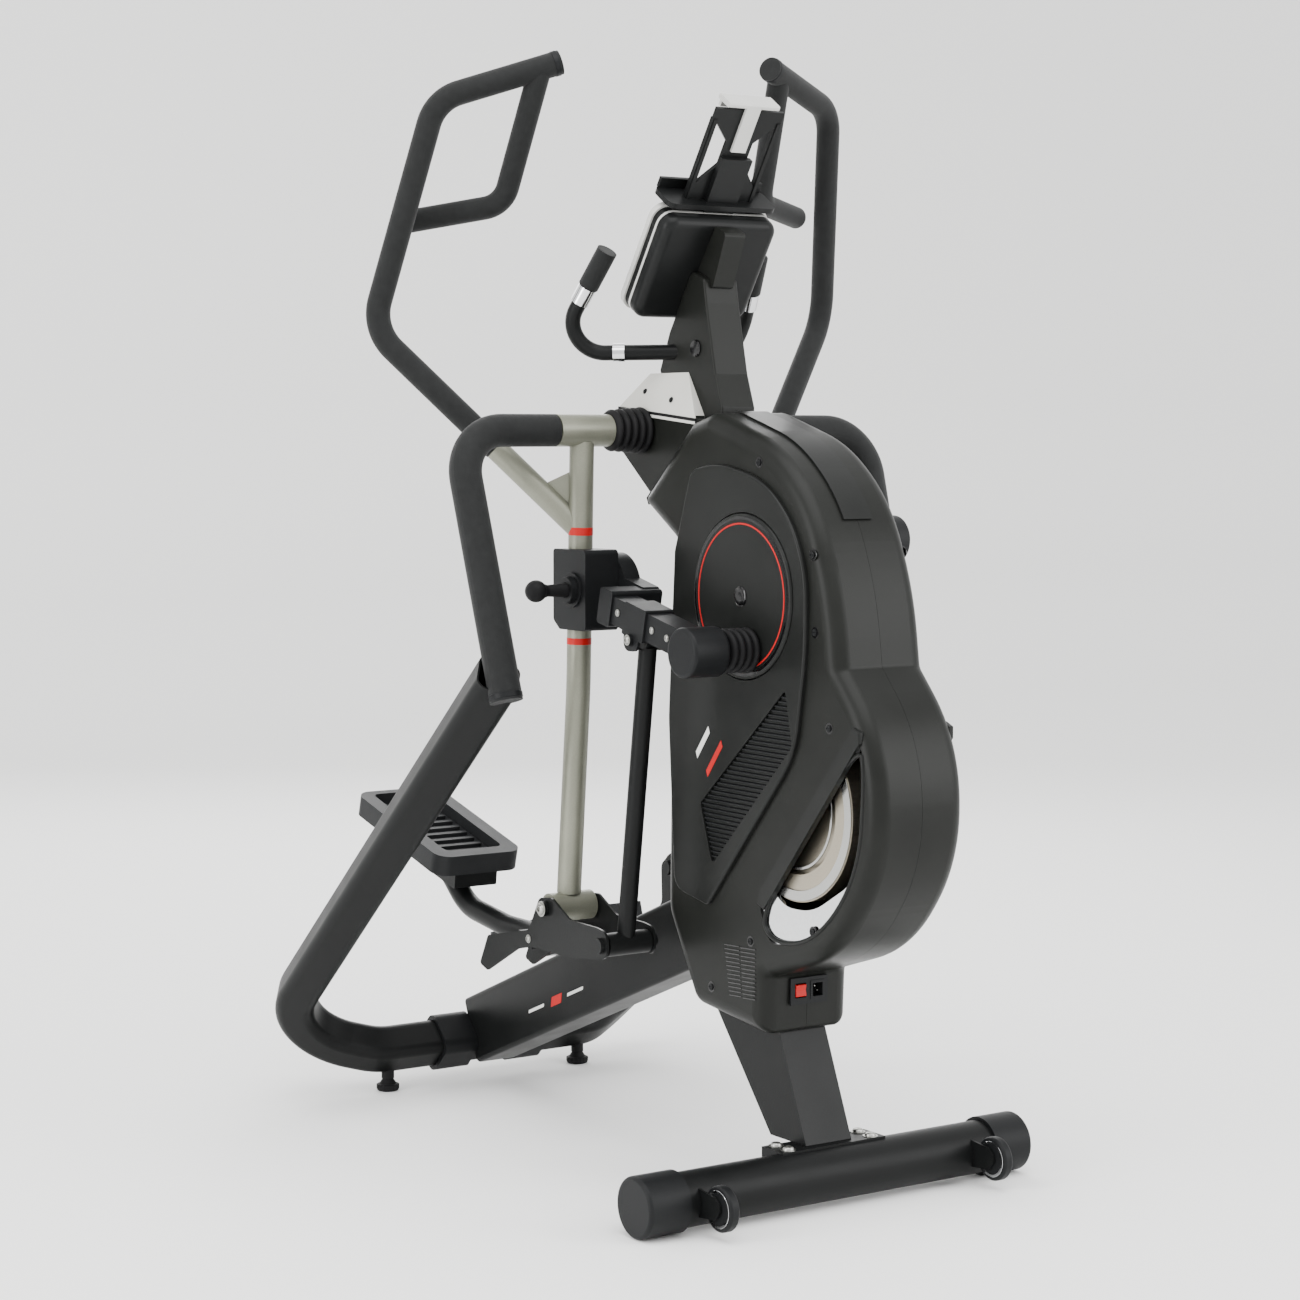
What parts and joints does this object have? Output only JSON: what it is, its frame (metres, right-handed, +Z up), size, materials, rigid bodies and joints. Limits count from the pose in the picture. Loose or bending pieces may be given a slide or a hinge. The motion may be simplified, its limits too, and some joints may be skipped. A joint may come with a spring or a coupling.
{
  "type": "vertical climber machine",
  "caption": "Standing climber: two swinging arms with handles and pedals, linked to a crank and belt-driven flywheel in a moulded cover, on a bent tube base.",
  "frame": {"origin": "floor level, midway between the machine's front and back ends, on its centre plane", "axes": "+Z up, +Y towards the front stabilizer, +X to the side shown nearer in the picture"},
  "size_m": [0.8666, 1.3456, 1.7232],
  "materials": {
    "frame_black": "satin powder coat",
    "arm_silver": "satin metallic paint",
    "cover_black": "fine textured moulding",
    "panel_black": "satin moulding",
    "foam": "closed cell foam",
    "rubber": "moulded rubber",
    "steel": "turned steel",
    "chrome": "bright plated",
    "cast": "silver painted rim",
    "trim": "metallised trim",
    "plastic_grey": "textured moulding",
    "pedal_grey": "textured moulding",
    "button_green": "gloss key",
    "button_red": "gloss key",
    "disc": "satin disc"
  },
  "bodies": {
    "frame": {"axle_boots": "rubber", "base_bolts": "chrome", "bearings": "steel", "console_face": "plastic_grey", "console_housing": "cover_black", "console_neck": "cover_black", "cover_screws": "steel", "drive_belt": "rubber", "front_post": "frame_black", "front_stabilizer": "frame_black", "handrail_foam": "foam", "handrail_tubes": "frame_black", "inlet_panel": "plastic_grey", "left_cover": "cover_black", "main_beam": "frame_black", "mast": "frame_black", "pivot_housing": "arm_silver", "pulse_bar": "frame_black", "pulse_grips": "foam", "pulse_sensors": "chrome", "rear_frame_tube": "frame_black", "rear_sleeve": "plastic_grey", "right_cover": "cover_black", "side_panels": "panel_black", "stabilizer_end_caps": "plastic_grey", "tablet_bracket": "cover_black", "top_cover": "panel_black", "window_trims": "trim"},
    "crank": {"crank_axle": "steel", "crank_discs": "disc", "crank_pin_boots": "rubber", "crank_pulley": "plastic_grey"},
    "flywheel": {"flywheel": "cast"},
    "brake_arm": {"brake_arm": "steel"},
    "transport_wheel_right": {"transport_wheel_right": "plastic_grey"},
    "transport_wheel_left": {"transport_wheel_left": "plastic_grey"},
    "levelling_foot_right": {"levelling_foot_right": "rubber"},
    "levelling_foot_left": {"levelling_foot_left": "rubber"},
    "power_switch": {"power_switch": "button_red"},
    "start_button": {"start_button": "button_green"},
    "stop_button": {"stop_button": "button_red"},
    "tablet_clip": {"tablet_clip": "trim"},
    "right_arm": {"right_swing_arm": "arm_silver", "right_handle_tube": "frame_black", "right_handle_foam": "foam"},
    "right_stride_box": {"right_stride_box": "arm_silver"},
    "right_stride_knob": {"right_stride_knob": "rubber"},
    "right_link": {"right_coupler_link": "cover_black"},
    "right_rod": {"right_pedal_rod": "frame_black"},
    "right_pedal": {"right_pedal_arm": "frame_black", "right_pedal": "pedal_grey"},
    "left_arm": {"left_swing_arm": "arm_silver", "left_handle_tube": "frame_black", "left_handle_foam": "foam"},
    "left_stride_box": {"left_stride_box": "arm_silver"},
    "left_stride_knob": {"left_stride_knob": "rubber"},
    "left_link": {"left_coupler_link": "cover_black"},
    "left_rod": {"left_pedal_rod": "frame_black"},
    "left_pedal": {"left_pedal_arm": "frame_black", "left_pedal": "pedal_grey"}
  },
  "joints": [
    {"name": "crank_turn", "type": "hinge", "parent": "frame", "child": "crank", "pos_m": [0, 0.3657, 0.894], "axis": [1, 0, 0], "range_deg": [0, 180]},
    {"name": "flywheel_spin", "type": "hinge", "parent": "frame", "child": "flywheel", "pos_m": [0.054, 0.4697, 0.59], "axis": [1, 0, 0], "continuous": true},
    {"name": "brake_adjust", "type": "hinge", "parent": "frame", "child": "brake_arm", "pos_m": [0.054, 0.3197, 0.462], "axis": [1, 0, 0], "range_deg": [-2, 0]},
    {"name": "right_arm_swing", "type": "hinge", "parent": "frame", "child": "right_arm", "pos_m": [0.163, 0.0427, 1.137], "axis": [1, 0, 0], "range_deg": [-10.77, 0]},
    {"name": "right_stride_adjust", "type": "slide", "parent": "right_arm", "child": "right_stride_box", "axis": [0, 0.0289, 0.9996], "range_m": [-0.02, 0.02]},
    {"name": "right_knob_pull", "type": "slide", "parent": "right_stride_box", "child": "right_stride_knob", "axis": [1, 0, 0], "range_m": [0, 0.01], "stiffness_N_per_m": 400, "springref_m": -0.01},
    {"name": "right_link_turn", "type": "hinge", "parent": "right_stride_box", "child": "right_link", "pos_m": [0.163, 0.0627, 0.893], "axis": [1, 0, 0], "range_deg": [0, 37.2]},
    {"name": "right_rod_turn", "type": "hinge", "parent": "right_link", "child": "right_rod", "pos_m": [0.163, 0.2267, 0.826], "axis": [1, 0, 0], "range_deg": [-40.31, 0]},
    {"name": "right_pedal_turn", "type": "hinge", "parent": "right_arm", "child": "right_pedal", "pos_m": [0.163, 0.0047, 0.393], "axis": [1, 0, 0], "range_deg": [0, 42.57]},
    {"name": "left_arm_swing", "type": "hinge", "parent": "frame", "child": "left_arm", "pos_m": [-0.163, 0.0427, 1.137], "axis": [1, 0, 0], "range_deg": [0, 10.77]},
    {"name": "left_stride_adjust", "type": "slide", "parent": "left_arm", "child": "left_stride_box", "axis": [0, 0.2117, 0.9773], "range_m": [-0.02, 0.02]},
    {"name": "left_knob_pull", "type": "slide", "parent": "left_stride_box", "child": "left_stride_knob", "axis": [-1, 0, 0], "range_m": [0, 0.01], "stiffness_N_per_m": 400, "springref_m": -0.01},
    {"name": "left_link_turn", "type": "hinge", "parent": "left_stride_box", "child": "left_link", "pos_m": [-0.163, 0.01762, 0.89347], "axis": [1, 0, 0], "range_deg": [-37.2, 0]},
    {"name": "left_rod_turn", "type": "hinge", "parent": "left_link", "child": "left_rod", "pos_m": [-0.163, 0.1943, 0.9065], "axis": [1, 0, 0], "range_deg": [0, 40.31]},
    {"name": "left_pedal_turn", "type": "hinge", "parent": "left_arm", "child": "left_pedal", "pos_m": [-0.163, -0.13109, 0.41258], "axis": [1, 0, 0], "range_deg": [-42.57, 0]},
    {"name": "wheel_roll_right", "type": "hinge", "parent": "frame", "child": "transport_wheel_right", "pos_m": [0.251, 0.5442, 0.046], "axis": [1, 0, 0], "continuous": true},
    {"name": "foot_screw_right", "type": "hinge", "parent": "frame", "child": "levelling_foot_right", "pos_m": [0.194, -0.5363, 0], "axis": [0, 0, 1], "continuous": true},
    {"name": "wheel_roll_left", "type": "hinge", "parent": "frame", "child": "transport_wheel_left", "pos_m": [-0.251, 0.5442, 0.046], "axis": [1, 0, 0], "continuous": true},
    {"name": "foot_screw_left", "type": "hinge", "parent": "frame", "child": "levelling_foot_left", "pos_m": [-0.194, -0.5363, 0], "axis": [0, 0, 1], "continuous": true},
    {"name": "switch_rock", "type": "hinge", "parent": "frame", "child": "power_switch", "pos_m": [0.016, 0.41062, 0.309], "axis": [1, 0, 0], "range_deg": [-8, 8]},
    {"name": "start_button_press", "type": "slide", "parent": "frame", "child": "start_button", "axis": [0, 0.832, -0.5548], "range_m": [0, 0.0015], "stiffness_N_per_m": 500, "springref_m": -0.001},
    {"name": "stop_button_press", "type": "slide", "parent": "frame", "child": "stop_button", "axis": [0, 0.832, -0.5548], "range_m": [0, 0.0015], "stiffness_N_per_m": 500, "springref_m": -0.001},
    {"name": "clip_lift", "type": "slide", "parent": "frame", "child": "tablet_clip", "axis": [0, 0.5548, 0.832], "range_m": [0, 0.04], "stiffness_N_per_m": 60, "springref_m": -0.02}
  ],
  "couplings": [
    {"joint": "flywheel_spin", "follows": "crank_turn", "ratio": 5},
    {"joint": "right_arm_swing", "follows": "crank_turn", "ratio": -0.058703},
    {"joint": "right_link_turn", "follows": "crank_turn", "ratio": 0.20558},
    {"joint": "right_rod_turn", "follows": "crank_turn", "ratio": -0.22282},
    {"joint": "right_pedal_turn", "follows": "crank_turn", "ratio": 0.2354},
    {"joint": "left_arm_swing", "follows": "crank_turn", "ratio": 0.058703},
    {"joint": "left_link_turn", "follows": "crank_turn", "ratio": -0.20558},
    {"joint": "left_rod_turn", "follows": "crank_turn", "ratio": 0.22282},
    {"joint": "left_pedal_turn", "follows": "crank_turn", "ratio": -0.2354}
  ]
}
